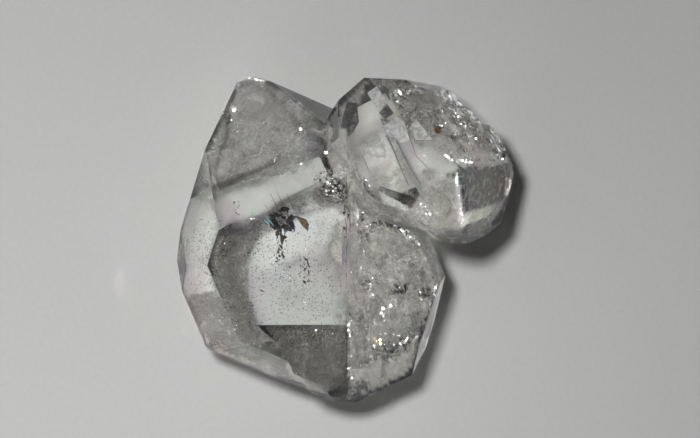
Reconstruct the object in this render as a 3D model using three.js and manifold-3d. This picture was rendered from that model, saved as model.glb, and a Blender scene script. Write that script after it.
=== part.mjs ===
// Herkimer diamond: a large doubly terminated quartz crystal with a smaller one grown into its
// right shoulder, one body of clear quartz. Millimetres, +Z up. The large crystal lies on its lowest
// prism face at z = 0, with its c axis along Y and its head towards +Y. The origin is the middle of
// the specimen's footprint.

import * as THREE from 'three';
import { mergeVertices } from 'three/addons/utils/BufferGeometryUtils.js';
import Module from 'manifold-3d';

const wasm = await Module();
wasm.setup();

// ---------------------------------------------------------------------------------------------
// Quartz habit, degrees. Every crystal has six prism faces along its c axis and six rhomb faces at
// each end, and may have small corner faces between two prism faces and the rhombs beyond them.
const rhombTilt = 51.8;      // c axis to the normal of a rhomb face
const cornerTilt = 65.6;     // c axis to the normal of a corner face
const sideStep = 60;         // from one prism face to the next, about the c axis

// Each crystal: its centre, how far its head tips up (pitch) and leans over (roll), and how far
// each face has grown from that centre. A ring of six starts with the face on top and goes round by
// way of +X: top, right upper, right lower, bottom, left lower, left upper. A corner face lies
// between the face it is numbered after and the next one.
const large = {
  centre: [0, 0, 7],
  pitch: 0,
  roll: 0,
  sides: [7.0, 10.6, 7.6, 7.0, 11.4, 14.1],
  head: [9.2, 11.3, 11.9, 14.0, 11.9, 13.1],
  tail: [13.3, 13.9, 14.5, 14.0, 12.2, 15.0],
  corners: [{ end: 'head', after: 4, reach: 13.9 }],
};
const small = {
  centre: [12.8, 2.9, 12.2],
  pitch: -22.9,
  roll: -10.2,
  sides: [5.6, 4.7, 8.5, 7.4, 10.0, 8.5],
  head: [7.0, 7.1, 6.5, 9.4, 12.0, 9.8],
  tail: [6.8, 6.1, 9.5, 8.6, 6.1, 7.8],
  corners: [{ end: 'head', after: 0, reach: 6.7 }, { end: 'tail', after: 0, reach: 9.3 }],
};

// Flats that are not crystal faces: where the crystals lay against others in their pocket. slope is
// measured from the level, turn from +Y towards +X, reach from the crystal's centre.
const largeFlats = [
  { slope: 22.4, turn: 8.6, reach: 7.9 },       // under the head
  { slope: 55.6, turn: 310.4, reach: 10.2 },    // left of the head
  { slope: 50, turn: 205.2, reach: 11.5 },      // under the tail
  { slope: 73.6, turn: 216.7, reach: 13.4 },    // left of the tail's tip
  { slope: 78.5, turn: 180, reach: 15.4 },      // end of the tail
];
const smallFlats = [
  { slope: 80.1, turn: 33.9, reach: 7.5 },      // end of the head
  { slope: 57.4, turn: 341.1, reach: 10.0 },    // left of the head
  { slope: 76.8, turn: 205.9, reach: 6.6 },     // end of the tail
  { slope: 81.9, turn: 187.9, reach: 8.3 },     // right of the tail
];

// Growth ledges. Beyond a wall, a face stands back at a shorter reach than on the crystal's body.
const largeLedges = [
  { ring: 'tail', face: 5, reach: 14.2, wall: { tilt: 90, turn: 240, reach: 3.9 } },
  { ring: 'sides', face: 0, reach: 6.4, wall: { tilt: 113.6, turn: 90, reach: 1.84 } },
];
const smallLedges = [
  { ring: 'sides', face: 0, reach: 5.0, wall: { tilt: 90, turn: 322, reach: 5.4 } },
];

// Rough fields, where growth was crowded: little crystals, each leaning its own way, stand out of a
// face or are sunk in it. A field is an ellipse on the face, given by its middle, its half widths
// across and along the c axis, and how far it is turned; size is the half width of the little
// crystals.
const contactField = {
  ring: 'sides', face: 0, reach: 6.4, middle: [4.3, -6.6], across: 4.6, along: 9.8, turn: 21,
  lumps: 120, pits: 40, size: [0.3, 1.2], stand: 0.4, seed: 11,
};
const tailField = {
  ring: 'tail', face: 0, reach: 13.3, middle: [-1.9, -8.6], across: 2.2, along: 1.3, turn: 0,
  lumps: 14, pits: 3, size: [0.25, 0.7], stand: 0.4, seed: 5,
};
const shoulderField = {
  ring: 'sides', face: 1, reach: 4.7, middle: [1.7, 0.6], across: 4.7, along: 4.8, turn: 0,
  lumps: 62, pits: 18, size: [0.35, 1.3], stand: 0.4, seed: 23,
};
const browField = {
  ring: 'head', face: 0, reach: 7.0, middle: [0.9, 1.9], across: 1.5, along: 1.7, turn: 0,
  lumps: 9, pits: 2, size: [0.3, 0.7], stand: 0.4, seed: 31,
};

const stockSize = 70;        // block that each crystal is cut from
const littleStock = 12;      // block that a little crystal is cut from
const littleLength = 1.5;    // a little crystal's length along the c axis over its width
const littleUneven = 0.25;   // how unevenly its faces have grown
const littleLean = 24;       // how far it may lean from the large lattice, degrees
const fieldInset = 0.05;     // little crystals end this far inside the neighbouring faces
const weldDistance = 1e-5;

// ---------------------------------------------------------------------------------------------
// Directions

const radians = THREE.MathUtils.degToRad;
const ringTilt = { sides: 90, head: rhombTilt, tail: 180 - rhombTilt };

function attitude(crystal) {
  const angles = new THREE.Euler(radians(crystal.pitch), radians(crystal.roll), 0, 'XYZ');
  return new THREE.Quaternion().setFromEuler(angles);
}

// A direction in a crystal's own axes: tilt from the head's end of c, turned about c.
function latticeDirection(crystal, tilt, turn) {
  const direction = new THREE.Vector3(
    Math.sin(radians(tilt)) * Math.sin(radians(turn)),
    Math.cos(radians(tilt)),
    Math.sin(radians(tilt)) * Math.cos(radians(turn)),
  );
  return direction.applyQuaternion(attitude(crystal));
}

function faceNormal(crystal, ring, index) {
  return latticeDirection(crystal, ringTilt[ring], sideStep * index);
}

function flatNormal(flat) {
  const level = Math.sin(radians(flat.slope));
  return new THREE.Vector3(
    level * Math.sin(radians(flat.turn)),
    level * Math.cos(radians(flat.turn)),
    -Math.cos(radians(flat.slope)),
  );
}

// ---------------------------------------------------------------------------------------------
// Crystals

function toSolid(geometry) {
  geometry.deleteAttribute('normal');
  geometry.deleteAttribute('uv');
  const merged = mergeVertices(geometry, weldDistance);
  return new wasm.Manifold(new wasm.Mesh({
    numProp: 3,
    vertProperties: new Float32Array(merged.attributes.position.array),
    triVerts: new Uint32Array(merged.index.array),
  }));
}

function stock(centre, size) {
  const block = new THREE.BoxGeometry(size, size, size);
  block.translate(...centre);
  return toSolid(block);
}

// Keeps what lies within reach of the centre, measured along the normal.
function keepWithin(solid, normal, reach, centre) {
  const offset = reach + normal.dot(new THREE.Vector3(...centre));
  return solid.trimByPlane([-normal.x, -normal.y, -normal.z], -offset);
}

// Keeps what lies beyond that reach.
function keepBeyond(solid, normal, reach, centre) {
  const offset = reach + normal.dot(new THREE.Vector3(...centre));
  return solid.trimByPlane([normal.x, normal.y, normal.z], offset);
}

function growCrystal(crystal, size = stockSize) {
  let solid = stock(crystal.centre, size);
  for (const ring of ['sides', 'head', 'tail']) {
    crystal[ring].forEach((reach, index) => {
      solid = keepWithin(solid, faceNormal(crystal, ring, index), reach, crystal.centre);
    });
  }
  for (const corner of crystal.corners) {
    const tilt = corner.end === 'head' ? cornerTilt : 180 - cornerTilt;
    const normal = latticeDirection(crystal, tilt, sideStep * (corner.after + 0.5));
    solid = keepWithin(solid, normal, corner.reach, crystal.centre);
  }
  return solid;
}

function cutLedge(solid, crystal, ledge) {
  const rise = faceNormal(crystal, ledge.ring, ledge.face);
  const wall = latticeDirection(crystal, ledge.wall.tilt, ledge.wall.turn);
  const missing = keepBeyond(stock(crystal.centre, stockSize), rise, ledge.reach, crystal.centre);
  return solid.subtract(keepBeyond(missing, wall, ledge.wall.reach, crystal.centre));
}

// ---------------------------------------------------------------------------------------------
// Rough fields

// Repeatable random numbers from 0 to 1.
function makeRandom(seed) {
  let state = seed * 7919 + 104729;
  return () => {
    state = (Math.imul(state, 1664525) + 1013904223) >>> 0;
    return state / 2 ** 32;
  };
}

function littleCrystal(crystal, place, size, random) {
  const spread = (amount) => amount * (2 * random() - 1);
  const ring = (reach) => Array.from({ length: 6 }, () => reach * (1 + spread(littleUneven)));
  return growCrystal({
    centre: place.toArray(),
    pitch: crystal.pitch + spread(littleLean),
    roll: crystal.roll + spread(littleLean),
    sides: ring(size),
    head: ring(size * littleLength),
    tail: ring(size * littleLength),
    corners: [],
  }, littleStock);
}

// The crystal with one face grown on and all others set back a little.
function envelope(crystal, field) {
  const grown = { ...crystal };
  for (const ring of ['sides', 'head', 'tail']) {
    grown[ring] = crystal[ring].map((reach, index) => {
      const isField = ring === field.ring && index === field.face;
      return isField ? reach + field.size[1] : reach - fieldInset;
    });
  }
  return growCrystal(grown);
}

function roughen(solid, crystal, field) {
  const random = makeRandom(field.seed);
  const normal = faceNormal(crystal, field.ring, field.face);
  const axis = latticeDirection(crystal, 0, 0);
  const across = new THREE.Vector3().crossVectors(axis, normal).normalize();
  const along = new THREE.Vector3().crossVectors(normal, across);
  const middle = new THREE.Vector3(...crystal.centre)
    .addScaledVector(normal, field.reach)
    .addScaledVector(across, field.middle[0])
    .addScaledVector(along, field.middle[1]);
  const turn = radians(field.turn);
  const [smallest, largest] = field.size;

  const scatter = (count, level) => Array.from({ length: count }, () => {
    const angle = 2 * Math.PI * random();
    const spread = Math.sqrt(random());
    const u = field.across * spread * Math.cos(angle);
    const v = field.along * spread * Math.sin(angle);
    const size = smallest + (largest - smallest) * random() ** 2;
    const place = middle.clone()
      .addScaledVector(across, u * Math.cos(turn) + v * Math.sin(turn))
      .addScaledVector(along, v * Math.cos(turn) - u * Math.sin(turn))
      .addScaledVector(normal, level(size, random()));
    return littleCrystal(crystal, place, size, random);
  });

  const standing = scatter(field.lumps, (size, chance) => size * (field.stand * chance - 1));
  const sunk = scatter(field.pits, (size, chance) => size * (1 - field.stand * chance));
  const lumps = wasm.Manifold.union(standing).intersect(envelope(crystal, field));
  return solid.add(lumps).subtract(wasm.Manifold.union(sunk));
}

// ---------------------------------------------------------------------------------------------
// The specimen

function specimenCrystal(crystal, flats, ledges, fields) {
  let solid = growCrystal(crystal);
  for (const ledge of ledges) {
    solid = cutLedge(solid, crystal, ledge);
  }
  for (const field of fields) {
    solid = roughen(solid, crystal, field);
  }
  for (const flat of flats) {
    solid = keepWithin(solid, flatNormal(flat), flat.reach, crystal.centre);
  }
  return solid;
}

const largeCrystal = specimenCrystal(large, largeFlats, largeLedges, [contactField, tailField]);
const smallCrystal = specimenCrystal(small, smallFlats, smallLedges, [shoulderField, browField]);
const cluster = largeCrystal.add(smallCrystal);

function toGeometry(solid) {
  const { vertProperties, triVerts } = solid.getMesh();
  const geometry = new THREE.BufferGeometry();
  geometry.setAttribute('position', new THREE.BufferAttribute(vertProperties, 3));
  geometry.setIndex(new THREE.BufferAttribute(triVerts, 1));
  return geometry;
}

const clearQuartz = new THREE.MeshStandardMaterial({
  color: 0xd8d8d4,
  roughness: 0.08,
  metalness: 0,
  transparent: true,
  opacity: 0.5,
  flatShading: true,
});

const specimen = new THREE.Mesh(toGeometry(cluster), clearQuartz);
specimen.name = 'quartz_cluster';
specimen.geometry.computeBoundingBox();
const footprint = specimen.geometry.boundingBox.getCenter(new THREE.Vector3());
specimen.geometry.translate(-footprint.x, -footprint.y, -specimen.geometry.boundingBox.min.z);

const part = new THREE.Group();
part.add(specimen);

export default part;
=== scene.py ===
# %% [markdown]
# # A Herkimer diamond
# The specimen is one body of clear quartz: a large double-ended crystal on its side, with a smaller
# one grown into its right shoulder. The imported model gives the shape. This lesson adds the skin, the
# clear material and the small things locked inside, and lights it on a pale table.

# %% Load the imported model
import math
import random
from collections import namedtuple

import bmesh
import bpy
from mathutils import Matrix, Vector, noise
from mathutils.bvhtree import BVHTree


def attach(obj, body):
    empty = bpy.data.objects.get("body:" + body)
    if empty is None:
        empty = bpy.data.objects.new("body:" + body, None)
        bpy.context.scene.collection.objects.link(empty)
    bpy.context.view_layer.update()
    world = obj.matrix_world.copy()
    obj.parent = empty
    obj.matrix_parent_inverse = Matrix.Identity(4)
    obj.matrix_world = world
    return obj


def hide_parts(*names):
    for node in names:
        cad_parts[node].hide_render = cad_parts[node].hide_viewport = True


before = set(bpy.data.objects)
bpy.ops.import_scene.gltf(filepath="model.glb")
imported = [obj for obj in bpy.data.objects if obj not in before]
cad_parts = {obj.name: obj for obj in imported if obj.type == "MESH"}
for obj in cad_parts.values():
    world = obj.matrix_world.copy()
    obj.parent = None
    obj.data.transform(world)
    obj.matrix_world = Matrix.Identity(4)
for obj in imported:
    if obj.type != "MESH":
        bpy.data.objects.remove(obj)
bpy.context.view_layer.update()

MM = 0.001


def put(name, data):
    """Puts a new object in the scene."""
    made = bpy.data.objects.new(name, data)
    bpy.context.scene.collection.objects.link(made)
    return made


# %% [markdown]
# Quartz grows with flat faces at fixed angles: six sides round its long axis, and six slanting
# rhomb faces at each end. A face is named by its tilt from the head's end of that axis and its turn
# about it, so the same two numbers find it on either crystal, whichever way the crystal points.

# %% The two crystals and their faces
RHOMB, SIDE = 51.8, 90.0


def tip_and_lean(pitch, roll):
    """The rotation that tips the head by pitch after the crystal has leant over by roll."""
    return Matrix.Rotation(math.radians(pitch), 3, "X") @ Matrix.Rotation(math.radians(roll), 3, "Y")


Crystal = namedtuple("Crystal", "centre attitude")
LARGE = Crystal(Vector((-3.126, -0.213, 7.0)), tip_and_lean(0, 0))
SMALL = Crystal(Vector((9.674, 2.687, 12.2)), tip_and_lean(-22.9, -10.2))


def face(crystal, tilt, turn):
    """The outward direction of a crystal face."""
    t, a = math.radians(tilt), math.radians(turn)
    local = Vector((math.sin(t) * math.sin(a), math.cos(t), math.sin(t) * math.cos(a)))
    return crystal.attitude @ local


def flat(slope, turn):
    """The outward direction of a rough flat on the underside, from its slope and compass turn."""
    s, a = math.radians(slope), math.radians(turn)
    return Vector((math.sin(s) * math.sin(a), math.sin(s) * math.cos(a), -math.cos(s)))


print("the small crystal's top side faces", [round(x, 3) for x in face(SMALL, SIDE, 0)])

# %% [markdown]
# The camera looks down on the specimen from a little behind its tail, 73 degrees above the table.
# It stands well back with a long lens, so that near and far edges keep their true proportions. Its
# axes have names, because what lies inside the quartz is placed by where it is seen from here.

# %% The camera
RIGHT = Vector((0.8808, -0.3846, 0.2763)).normalized()
BACK = Vector((-0.2138, 0.1977, 0.9567)).normalized()
UP = BACK.cross(RIGHT).normalized()
RIGHT = UP.cross(BACK).normalized()
VIEW_WIDTH, STAND_OFF = 70.0, 800.0
VIEW_CORNER = LARGE.centre - RIGHT * 31.0 + UP * 23.6
SENSOR_WIDTH = 36.0

view_middle = LARGE.centre + RIGHT * 4.0 + UP * 1.7
eye = view_middle + BACK * STAND_OFF
camera_data = bpy.data.cameras.new("camera")
camera = put("camera", camera_data)
camera_data.sensor_width = SENSOR_WIDTH
camera_data.lens = SENSOR_WIDTH * STAND_OFF / VIEW_WIDTH
camera_data.clip_start, camera_data.clip_end = 0.05, 20.0
camera.location = eye * MM
camera.rotation_mode = "QUATERNION"
camera.rotation_quaternion = Matrix((RIGHT, UP, BACK)).transposed().to_quaternion()
bpy.context.scene.camera = camera
print("lens", round(camera_data.lens), "mm,", round(math.degrees(math.asin(BACK.z)), 1), "degrees up")

# %% [markdown]
# A shader is easier to read as arithmetic. This class wraps one output of a node, so that adding or
# multiplying two of them makes the Math node that does it. `node` makes every other kind of node.


# %% Shader arithmetic
class Wire:
    """One output in a node tree, with the operators that the materials below use."""

    def __init__(self, tree, socket):
        self.tree, self.socket = tree, socket

    def maths(self, operation, first, second):
        return node(self.tree, "ShaderNodeMath", {"operation": operation}, {0: first, 1: second})

    def __add__(self, other):
        return self.maths("ADD", self, other)

    def __sub__(self, other):
        return self.maths("SUBTRACT", self, other)

    def __mul__(self, other):
        return self.maths("MULTIPLY", self, other)


def node(tree, kind, settings=None, inputs=None, output=0):
    """Adds a node. Settings are its properties, inputs the values or wires of its sockets."""
    made = tree.nodes.new(kind)
    for name, value in (settings or {}).items():
        setattr(made, name, value)
    for name, value in (inputs or {}).items():
        if isinstance(value, Wire):
            tree.links.new(value.socket, made.inputs[name])
        else:
            made.inputs[name].default_value = value
    return Wire(tree, made.outputs[output])


def new_material(name, **plain):
    """A material with its main shader's plain values set by name."""
    material = bpy.data.materials.new(name)
    material.use_nodes = True
    shader = material.node_tree.nodes["Principled BSDF"]
    for key, value in plain.items():
        shader.inputs[key.replace("_", " ")].default_value = value
    return material, material.node_tree, shader


def paint(name, colour, roughness, metallic=0.0):
    """A material of one plain colour."""
    return new_material(name, Base_Color=(*colour, 1), Roughness=roughness, Metallic=metallic)[0]


def ramp(tree, factor, low, high):
    """0 below low, 1 above high, smooth between."""
    levels = {"Value": factor, "From Min": low, "From Max": high}
    return node(tree, "ShaderNodeMapRange", {"interpolation_type": "SMOOTHSTEP"}, levels)


def grain(tree, place, size, detail=3.0, roughness=0.55):
    """Cloudy noise whose blotches are about size millimetres."""
    inputs = {"Vector": place, "Scale": 1 / (size * MM), "Detail": detail, "Roughness": roughness}
    return node(tree, "ShaderNodeTexNoise", None, inputs)


def mixed(tree, factor, first, second):
    """A colour that goes from the first at 0 to the second at 1."""
    ends = {"Factor": factor, 6: (*first, 1), 7: (*second, 1)}
    return node(tree, "ShaderNodeMix", {"data_type": "RGBA"}, ends, output=2)


print("wires can be added, subtracted and multiplied")

# %% [markdown]
# The table is a plain pale sheet with a very faint fleck, as good paper has. It sits a hair below
# the specimen's flat spot, so that the two surfaces don't fight for the same place.

# %% The table
TABLE_SIZE, TABLE_DROP = 4.0, 0.00005
bpy.ops.mesh.primitive_plane_add(size=TABLE_SIZE, location=(0, 0, -TABLE_DROP))
table_top = bpy.context.object
table_top.name = "table_top"
material, tree, shader = new_material("pale_sheet", Roughness=0.9)
shader.inputs["Specular IOR Level"].default_value = 0.2
place = node(tree, "ShaderNodeTexCoord", output="Object")
fleck = grain(tree, place, 0.5, 4.0)
tone = mixed(tree, fleck, (0.60, 0.60, 0.585), (0.66, 0.66, 0.645))
tree.links.new(tone.socket, shader.inputs["Base Color"])
table_top.data.materials.append(material)
print("the table top is", TABLE_SIZE, "m across")

# %% [markdown]
# Clear quartz shows little but the bright table and the dim room, bent and folded by its faces, so
# those two brightnesses set its whole look. The room is darkest overhead. One soft round lamp stands
# at the back left and is aimed short of the specimen, so that the far side of the table falls off in
# brightness. A card at the lower left throws a little light back into the shaded faces.

# %% The room and the lamps
world = bpy.data.worlds.new("dim_room")
world.use_nodes = True
room = world.node_tree
heading = node(room, "ShaderNodeTexCoord", output="Generated")
height = node(room, "ShaderNodeSeparateXYZ", None, {0: heading}, output="Z")
dusk = mixed(room, ramp(room, height, 0.05, 0.75), (0.12, 0.122, 0.124), (0.014, 0.014, 0.015))
room.links.new(dusk.socket, room.nodes["Background"].inputs["Color"])
bpy.context.scene.world = world


def round_lamp(name, width, energy, toward, distance, aim):
    """A disk-shaped lamp, with its width and distance in metres and its aim in millimetres."""
    lamp = bpy.data.lights.new(name, "AREA")
    lamp.shape, lamp.size, lamp.energy = "DISK", width, energy
    light = put(name, lamp)
    light.location = toward.normalized() * distance
    light.rotation_mode = "QUATERNION"
    light.rotation_quaternion = (light.location - aim * MM).to_track_quat("Z", "Y")
    return light


LIT_MOST = LARGE.centre - RIGHT * 12 - UP * 36
soft_light = round_lamp("soft_light", 0.05, 0.158, Vector((-0.250, 0.327, 0.911)), 0.5, LIT_MOST)
soft_light.data.spread = math.radians(54)
TOWARD_CARD = RIGHT * -0.62 - UP * 0.62 + BACK * 0.48
round_lamp("reflecting_card", 0.16, 0.10, TOWARD_CARD, 0.22, Vector())
bpy.context.scene.view_settings.view_transform = "Standard"
cycles = bpy.context.scene.cycles
cycles.max_bounces = cycles.transmission_bounces = 24
cycles.transparent_max_bounces = 32
cycles.sample_clamp_indirect = 0
cycles.blur_glossy = 0.15
lamp_place = soft_light.location / MM
print("the lamp stands at", [round(x) for x in lamp_place], "mm")

# %% [markdown]
# Where growth was crowded, the crystal's faces are covered with small bumps and pits. Each such patch
# is an ellipse on one face of a crystal, with its own depth of bumps and its own frost. The last one
# lies where cloudy growth has buried the upper half of the ledge beside the window.

# %% The rough patches
Patch = namedtuple("Patch", "crystal tilt turn reach middle half turned depth frost")
PATCHES = [
    # crystal, face tilt, turn, reach, middle across and along, half widths, turned by, depth, frost
    Patch(LARGE, SIDE, 0, 6.4, (3.9, -6.6), (5.8, 10.6), 21, 0.11, 0.23),
    Patch(SMALL, SIDE, 60, 4.7, (1.7, 0.6), (5.2, 5.4), 0, 0.07, 0.24),
    Patch(SMALL, RHOMB, 0, 7.0, (0.9, 1.9), (1.8, 2.0), 0, 0.06, 0.15),
    Patch(LARGE, 180 - RHOMB, 0, 13.3, (-1.9, -8.6), (2.4, 1.6), 0, 0.03, 0.08),
    Patch(LARGE, SIDE, 0, 6.4, (1.2, -2.0), (1.6, 6.4), 25, 0.06, 0.13),
]
BURIED_LEDGE = PATCHES[-1]
PATCH_THICKNESS = 1.6


def patch_depth(patch, point):
    """How far a point lies inside a patch: 1 at its middle, 0 at its rim, below 0 outside."""
    normal = face(patch.crystal, patch.tilt, patch.turn)
    across = face(patch.crystal, 0, 0).cross(normal).normalized()
    along = normal.cross(across)
    away = point - patch.crystal.centre - normal * patch.reach
    away = away - across * patch.middle[0] - along * patch.middle[1]
    u, v, height = away.dot(across), away.dot(along), away.dot(normal)
    c, s = math.cos(math.radians(patch.turned)), math.sin(math.radians(patch.turned))
    radius = math.hypot((u * c - v * s) / patch.half[0], (v * c + u * s) / patch.half[1])
    return min(1 - radius, 1 - abs(height) / PATCH_THICKNESS)


print("bumps up to", max(p.depth for p in PATCHES), "mm deep in", len(PATCHES), "patches")

# %% [markdown]
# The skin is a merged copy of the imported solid. In and near the patches its triangles are cut finer
# and pushed in and out by a fraction of a millimetre, which leaves little facets that sparkle. Sharp
# edges elsewhere lose a hair of quartz, because a real edge is never perfectly keen and its thin
# bevel catches the light. Sorting by place makes each run give exactly the same mesh.

# %% The skin's shape
FINEST_FACE, FINEST_EDGE = 0.2, 0.42
KEEN_ANGLE, LONG_EDGE, EDGE_WEAR = math.radians(14), 1.2, 0.05
BUMP_RIM, PITS_PER_MM, RIPPLES_PER_MM = 4, 1.5, 3.1


def refine(bm):
    """Cuts the triangles in and near the patches finer."""
    for _ in range(7):
        near = []
        for f in bm.faces:
            centre = f.calc_center_median()
            spread = max((v.co - centre).length for v in f.verts)
            reached = any(patch_depth(p, centre) > -spread / min(p.half) for p in PATCHES)
            if spread > FINEST_FACE and reached:
                near.append(f)
        edges = dict.fromkeys(e for f in near for e in f.edges if e.calc_length() > FINEST_EDGE)
        if not edges:
            break
        bmesh.ops.subdivide_edges(bm, edges=list(edges), cuts=1)
        bmesh.ops.triangulate(bm, faces=[f for f in bm.faces if len(f.verts) > 3])


def wear_edges(bm):
    """Bevels the long, keen edges that lie clear of the patches."""
    worn_edges = [
        e
        for e in bm.edges
        if len(e.link_faces) == 2
        and e.calc_face_angle() > KEEN_ANGLE
        and e.calc_length() > LONG_EDGE
        and max(patch_depth(p, v.co) for p in PATCHES for v in e.verts) < -0.03
    ]
    bevel = {"segments": 1, "profile": 0.5, "affect": "EDGES", "clamp_overlap": True}
    bmesh.ops.bevel(bm, geom=worn_edges, offset=EDGE_WEAR, **bevel)


def bury_ledge(bm):
    """Smooths the ledge's buried half into a gentle slope."""
    buried = [v for v in bm.verts if patch_depth(BURIED_LEDGE, v.co) > 0]
    every_way = {"use_axis_x": True, "use_axis_y": True, "use_axis_z": True}
    for _ in range(16):
        bmesh.ops.smooth_vert(bm, verts=buried, factor=0.5, **every_way)
    bm.normal_update()


def roughen(bm):
    """Pushes the skin in and out in the patches, less towards their rims."""
    moves = {}
    for v in bm.verts:
        for patch in PATCHES:
            depth = patch_depth(patch, v.co)
            if depth > 0:
                pits = noise.voronoi(v.co * PITS_PER_MM)[0]
                bump = (pits[1] - pits[0]) - 0.35 + 0.5 * noise.noise(v.co * RIPPLES_PER_MM)
                moves[v] = v.normal * (bump * patch.depth * min(1.0, depth * BUMP_RIM))
    for v, move in moves.items():
        v.co += move
    bm.normal_update()


def sort_by_place(bm):
    """Puts the parts in an order that depends on nothing but their places."""
    for i, v in enumerate(sorted(bm.verts, key=lambda v: tuple(v.co))):
        v.index = i
    bm.verts.sort()
    for i, f in enumerate(sorted(bm.faces, key=lambda f: tuple(f.calc_center_median()))):
        f.index = i
    bm.faces.sort()


print("edges shorter than", LONG_EDGE, "mm stay keen")

# %% [markdown]
# Each part of the skin also stores how frosted it is, for the material to read: the crystal faces are
# glassy, the patches are etched, and the flats of the underside, where the crystals lay against
# others, are rough all over.

# %% The skin and its frost
ROUGH_FLATS = [
    # slope, compass turn, frost
    (22.4, 8.6, 0.30),
    (55.6, 310.4, 0.25),
    (50, 205.2, 0.10),
    (73.6, 216.7, 0.25),
    (78.5, 180, 0.25),
    (80.1, 33.9, 0.25),
    (57.4, 341.1, 0.25),
    (76.8, 205.9, 0.25),
    (81.9, 187.9, 0.25),
]
SAME_WAY = 0.9995
FROST_RIM = 5


def store_frost(bm):
    """Writes the patches' frost on the places and the rough flats' frost on the faces."""
    crowded = bm.verts.layers.float.new("crowded")
    for v in bm.verts:
        shares = [min(1.0, max(0.0, patch_depth(p, v.co) * FROST_RIM)) for p in PATCHES]
        v[crowded] = max(p.frost * share for p, share in zip(PATCHES, shares))
    worn = bm.faces.layers.float.new("worn")
    flats = [(flat(slope, turn), frost) for slope, turn, frost in ROUGH_FLATS]
    for f in bm.faces:
        frosts = [frost for normal, frost in flats if f.normal.dot(normal) > SAME_WAY]
        f[worn] = max(frosts, default=0.0)


def make_skin():
    """The skin's mesh, and a tree that finds where a line meets it."""
    bm = bmesh.new()
    bm.from_mesh(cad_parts["quartz_cluster"].data)
    bmesh.ops.scale(bm, vec=(1 / MM,) * 3, verts=bm.verts)
    bmesh.ops.remove_doubles(bm, verts=bm.verts, dist=1e-4)
    for step in (refine, wear_edges, bury_ledge, roughen, sort_by_place, store_frost):
        step(bm)
    bmesh.ops.scale(bm, vec=(MM,) * 3, verts=bm.verts)
    mesh = bpy.data.meshes.new("quartz_skin")
    bm.to_mesh(mesh)
    tree = BVHTree.FromBMesh(bm)
    bm.free()
    return mesh, tree


skin_mesh, skin_tree = make_skin()
skin = put("quartz_skin", skin_mesh)
print("the skin has", len(skin_mesh.polygons), "faces")

# %% [markdown]
# Clear quartz lets light through and bends it by quartz's own index. Its roughness follows the stored
# frost and a few dull smears, and its colour is a hair off white in places. The bump is faint growth
# waves on the crystal faces, and in the patches a mosaic of tilted facets, which stands for crystals
# too small to model.

# %% Clear quartz
INDEX = 1.544
WAVE_HEIGHT = 0.000003
quartz, tree, shader = new_material(
    "clear_quartz", Base_Color=(1, 1, 1, 1), Transmission_Weight=1.0, IOR=INDEX
)
place = node(tree, "ShaderNodeTexCoord", output="Object")
crowded = node(tree, "ShaderNodeAttribute", {"attribute_name": "crowded"}, output="Fac")
worn = node(tree, "ShaderNodeAttribute", {"attribute_name": "worn"}, output="Fac")
etched = grain(tree, place, 0.35, 4.0, 0.65)
clouds = ramp(tree, grain(tree, place, 2.6, 4.0), 0.35, 0.7)
smear = ramp(tree, grain(tree, place, 3.5, 3.0), 0.56, 0.74)
roughness = crowded * (etched * 0.9 + 0.1) + worn * (clouds * 0.8 + 0.1) + smear * 0.03 + 0.004
tree.links.new(roughness.socket, shader.inputs["Roughness"])


def vector_maths(operation, first, second, output=0):
    """A Vector Math node on two vectors."""
    settings = {"operation": operation}
    return node(tree, "ShaderNodeVectorMath", settings, {0: first, 1: second}, output)


def mosaic(size):
    """The height in metres of flat facets about size millimetres across, tilted at random."""
    sockets = {"Vector": place, "Scale": 1 / (size * MM)}
    colour = node(tree, "ShaderNodeTexVoronoi", None, sockets, output="Color")
    middle = node(tree, "ShaderNodeTexVoronoi", None, sockets, output="Position")
    tilt = vector_maths("SUBTRACT", colour, (0.5, 0.5, 0.5))
    away = vector_maths("SUBTRACT", place, middle)
    return vector_maths("DOT_PRODUCT", tilt, away, output="Value")


facets = mosaic(1.3) * 0.8 + mosaic(0.45) * 0.5
wave = grain(tree, place, 4.0, 1.0, 0.3)
height = crowded * facets + worn * mosaic(0.9) * 0.25 + wave * WAVE_HEIGHT
bump = node(tree, "ShaderNodeBump", None, {"Strength": 1.0, "Distance": 1.0, "Height": height})
tree.links.new(bump.socket, shader.inputs["Normal"])
stain = ramp(tree, grain(tree, place, 5.0, 3.0), 0.5, 0.75)
tint = mixed(tree, stain, (1.0, 1.0, 0.995), (0.99, 0.983, 0.965))
tree.links.new(tint.socket, shader.inputs["Base Color"])
skin.data.materials.append(quartz)
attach(skin, "root")
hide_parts("quartz_cluster")
print("clear quartz bends light with an index of", INDEX)

# %% [markdown]
# What lies inside the quartz is placed by where it is seen. A sight line leaves the eye, meets the
# skin and bends as it goes in, because light is slower in quartz. Places in the view are millimetres
# across and down from its top left corner, and depth is millimetres along the bent line.

# %% Sight lines into the quartz
NEAREST, CLEARANCE = 0.12, 0.15
RUN_UP, FIRST_STEP = 60, 0.05


def bend(ray, normal):
    """The way a ray goes on inside after it meets a face with that outward normal."""
    ratio = 1 / INDEX
    facing = -ray.dot(normal)
    steepness = math.sqrt(1 - ratio**2 * (1 - facing**2))
    return (ray * ratio + normal * (ratio * facing - steepness)).normalized()


def enter(x, y):
    """Where the sight line enters, the face's normal, its way inside and how far it can go."""
    aim = VIEW_CORNER + RIGHT * x - UP * y
    ray = (aim - eye).normalized()
    hit, normal, _, _ = skin_tree.ray_cast((aim - ray * RUN_UP) * MM, ray)
    if hit is None:
        return None
    for patch in PATCHES:
        if patch_depth(patch, hit / MM) > 0:
            normal = face(patch.crystal, patch.tilt, patch.turn)
    way = bend(ray, normal)
    far, _, _, distance = skin_tree.ray_cast(hit + way * FIRST_STEP * MM, way)
    return hit / MM, normal, way, (distance / MM if far else 0.0)


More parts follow.
